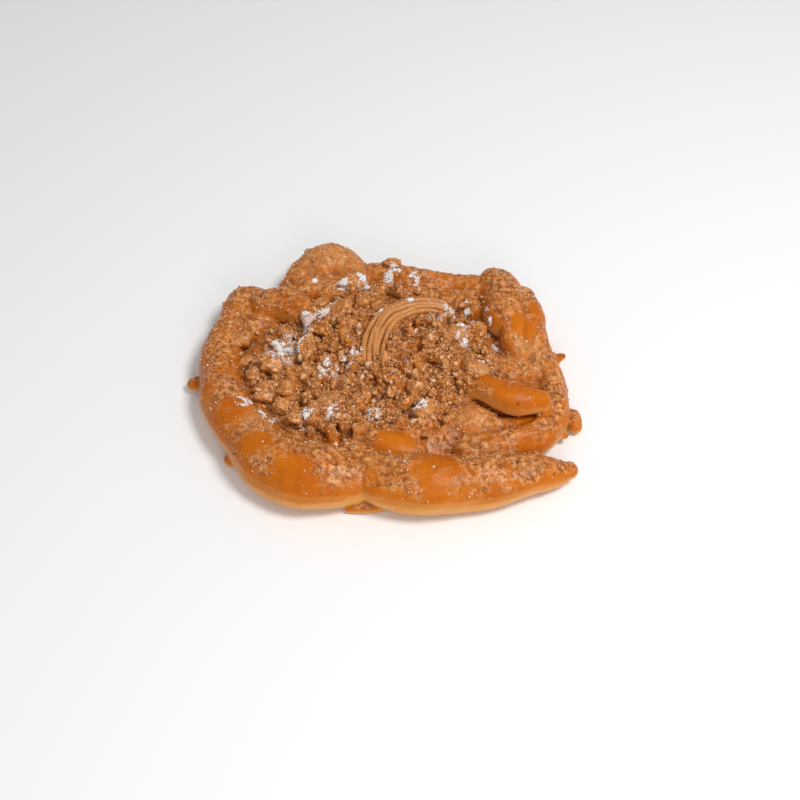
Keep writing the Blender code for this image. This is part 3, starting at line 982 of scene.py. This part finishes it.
def dough_material():
    """Glossy golden fried dough, with painted light that makes its flanks paler and painted shade that
    darkens its creases and deep hollows, dull where sugar coats it.
    """
    material, tree, shader = new_material("fried_dough")
    coat = attribute_node(tree, "coat")
    middle = attribute_node(tree, "middle")
    cloud = noise_node(tree, 55, 3)
    smooth = ramp_node(tree, cloud, (0.32, AMBER), (0.68, GOLD))
    # painted light: the flanks turn a paler gold
    smooth = mix_node(tree, attribute_node(tree, "painted_flank_light"), smooth, PAINTED_LIT_FLANK_GOLD)
    # this speck noise also bumps the skin, so its dark lows are partly painted shade and its pink tops
    # partly painted highlight
    speck = noise_node(tree, 480, 4, 0.7)
    crusted = sugar_specks_lit_and_shaded(tree, ramp_node(tree, noise_node(tree, 130, 3), *CRUST_BODY), speck)
    colour = mix_node(tree, map_node(tree, coat, 0.08, 0.85, 0, 1), smooth, crusted)
    batter = ramp_node(tree, noise_node(tree, 160, 3), *BATTER_BODY)
    crust = map_node(tree, noise_node(tree, 95, 3), 0.42, 0.52, 0, 1)
    craggy = mix_node(tree, crust, batter, sugar_specks_lit_and_shaded(tree, batter, speck))
    colour = mix_node(tree, middle, colour, craggy)
    pale = map_node(tree, attribute_node(tree, "pale"), 0, 1, 0, 0.3)
    colour = mix_node(tree, pale, colour, PALE_DOUGH)
    # painted shade: dark cinnamon brown mixed into the creases
    crease_shade_mix = map_node(tree, attribute_node(tree, "painted_crease_shade"), 0.05, 0.7, 0, 0.8)
    colour = mix_node(tree, crease_shade_mix, colour, DARK_CINNAMON_AND_SHADE)
    # painted shade: dark cinnamon brown mixed into the deep hollows
    painted_deep_shade = map_node(tree, attribute_node(tree, "painted_deep_shade"), 0.15, 0.9, 0, 0.75)
    colour = powdered(tree, mix_node(tree, painted_deep_shade, colour, DARK_CINNAMON_AND_SHADE))
    tree.links.new(colour, shader.inputs["Base Color"])
    tree.links.new(map_node(tree, coat, 0, 1, 0.25, 0.33), shader.inputs["Roughness"])
    tree.links.new(map_node(tree, coat, 0, 1, 0.12, 0.28), shader.inputs["Specular IOR Level"])
    soften(shader, 0.12, 2.5)
    blister = noise_node(tree, 260, 2)
    bump(tree, shader, (blister, 0.5, 0.35), (speck, 0.4, 0.7))
    return material


def batter_material(name, body, share, rough):
    """Fried batter with cinnamon sugar on a share of it."""
    material, tree, shader = new_material(name)
    speck = noise_node(tree, 800, 3, 0.6)
    body = ramp_node(tree, noise_node(tree, 170, 3), *body)
    colour = mix_node(tree, share, body, sugar_specks_lit_and_shaded(tree, body, speck))
    tree.links.new(powdered(tree, colour), shader.inputs["Base Color"])
    shader.inputs["Roughness"].default_value = rough
    shader.inputs["Specular IOR Level"].default_value = 0.42
    soften(shader, 0.12, 2)
    bump(tree, shader, (noise_node(tree, 420, 4, 0.7), 0.4, 0.6))
    return material


def crumb_material(name, *stops):
    """Crumbs from dark brown to pinkish sugar, each of its own shade."""
    material, tree, shader = new_material(name)
    own = ramp_node(tree, attribute_node(tree, "tint"), *stops)
    mottle = ramp_node(tree, noise_node(tree, 700, 3, 0.7), (0.3, SHADED), (0.65, CLEAR))
    colour = mix_node(tree, 0.8, own, mottle, "MULTIPLY")
    tree.links.new(powdered(tree, colour), shader.inputs["Base Color"])
    shader.inputs["Roughness"].default_value = 0.28
    shader.inputs["Specular IOR Level"].default_value = 0.5
    bump(tree, shader, (noise_node(tree, 900, 3, 0.7), 0.25, 0.6))
    return material


def crystal_material():
    """Grains of cinnamon sugar, which catch the light."""
    material, tree, shader = new_material("sugar_crystals")
    own = ramp_node(tree, attribute_node(tree, "tint"), *CRYSTAL_SHADES)
    tree.links.new(own, shader.inputs["Base Color"])
    shader.inputs["Roughness"].default_value = 0.4
    shader.inputs["Specular IOR Level"].default_value = 0.25
    return material


def powder_material():
    """Matt white powder."""
    material, tree, shader = new_material("powdered_sugar")
    own = ramp_node(tree, attribute_node(tree, "tint"), *POWDER_SHADES)
    tree.links.new(own, shader.inputs["Base Color"])
    shader.inputs["Roughness"].default_value = 0.85
    return material


def floor_material():
    """The plain pale ground under the cake."""
    material, _, shader = new_material("pale_floor")
    shader.inputs["Base Color"].default_value = (0.86, 0.865, 0.87, 1)
    shader.inputs["Roughness"].default_value = 0.7
    return material


def dress(obj, material):
    """Gives a piece its material and its place in the frame."""
    obj.data.materials.clear()
    obj.data.materials.append(material)
    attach(obj, "root")


def add_floor():
    bpy.ops.mesh.primitive_plane_add(size=FLOOR_SIZE, location=(0, 0, -FLOOR_DROP * MM))
    floor = bpy.context.object
    floor.name = "floor"
    floor.data.materials.append(floor_material())


def add_light(name, place, size, energy):
    data = bpy.data.lights.new(name, "AREA")
    data.shape = "DISK"
    data.size = size
    data.energy = energy
    light = scene_link(bpy.data.objects.new(name, data))
    light.location = place
    light.rotation_euler = (-Vector(place)).to_track_quat("-Z", "Y").to_euler()


def add_studio():
    """A white surround and the lights, with colours shown as they are."""
    world = bpy.data.worlds.new("studio")
    world.use_nodes = True
    background = world.node_tree.nodes["Background"]
    background.inputs["Color"].default_value = (1, 1, 1, 1)
    background.inputs["Strength"].default_value = SURROUND
    bpy.context.scene.world = world
    for name, light in LIGHTS.items():
        add_light(name, **light)
    bpy.context.scene.view_settings.view_transform = "Standard"


def add_camera():
    """The photograph's view."""
    data = bpy.data.cameras.new("camera")
    data.lens = LENS
    camera = scene_link(bpy.data.objects.new("camera", data))
    back = Vector((0, -math.cos(ELEVATION), math.sin(ELEVATION)))
    camera.location = (Vector(LOOK_AT) - LAYOUT_MIDDLE + back * DISTANCE) * MM
    camera.rotation_euler = (math.pi / 2 - ELEVATION, 0, 0)
    bpy.context.scene.camera = camera


def main():
    noise.seed_set(WOBBLE_SEED)
    add_camera()
    add_studio()
    add_floor()
    share = 1.0
    draw = np.random.default_rng(GRAIN_SEED)
    dough = make_dough(draw)
    nuggets = make_nuggets(dough.data)
    ribbons = make_ribbons()
    chunks = scatter(
        "chunks",
        [dough.data],
        draw,
        CHUNK_COUNT,
        CHUNK_RADII,
        chunk_density,
        ball_template(3),
        sink=0.6,
        chips=6,
    )
    chunks.data.shade_smooth()
    crumbs = scatter(
        "crumbs",
        [dough.data, chunks.data],
        draw,
        int(CRUMB_COUNT * share),
        CRUMB_RADII,
        crumb_density,
        ball_template(2),
        sink=0.6,
        lumps=0.4,
        chips=4,
    )
    fine_crumbs = scatter(
        "fine_crumbs",
        [dough.data, chunks.data],
        draw,
        int(FINE_CRUMB_COUNT * share),
        FINE_CRUMB_RADII,
        crumb_density,
        ball_template(1),
        sink=0.5,
        lumps=0.4,
        chips=2,
    )
    crystals = scatter(
        "crystals",
        [dough.data, nuggets.data, chunks.data],
        draw,
        int(CRYSTAL_COUNT * share),
        CRYSTAL_RADII,
        crystal_density,
        octahedron_template(),
        sink=0.4,
    )
    powder = scatter(
        "powder",
        [dough.data, nuggets.data, chunks.data, ribbons.data],
        draw,
        int(POWDER_COUNT * share),
        POWDER_RADII,
        powder_density,
        octahedron_template(),
        sink=0.3,
    )
    dress(dough, dough_material())
    dress(nuggets, batter_material("nuggets", NUGGET_BODY, 0.6, 0.28))
    dress(chunks, batter_material("chunks", NUGGET_BODY, 0.75, 0.28))
    dress(ribbons, batter_material("ribbons", RIBBON_BODY, 0.25, 0.4))
    dress(crumbs, crumb_material("crumbs", *CRUMB_SHADES))
    dress(fine_crumbs, crumb_material("fine_crumbs", *CRUMB_SHADES))
    dress(crystals, crystal_material())
    dress(powder, powder_material())
    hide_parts("funnel_cake")


main()
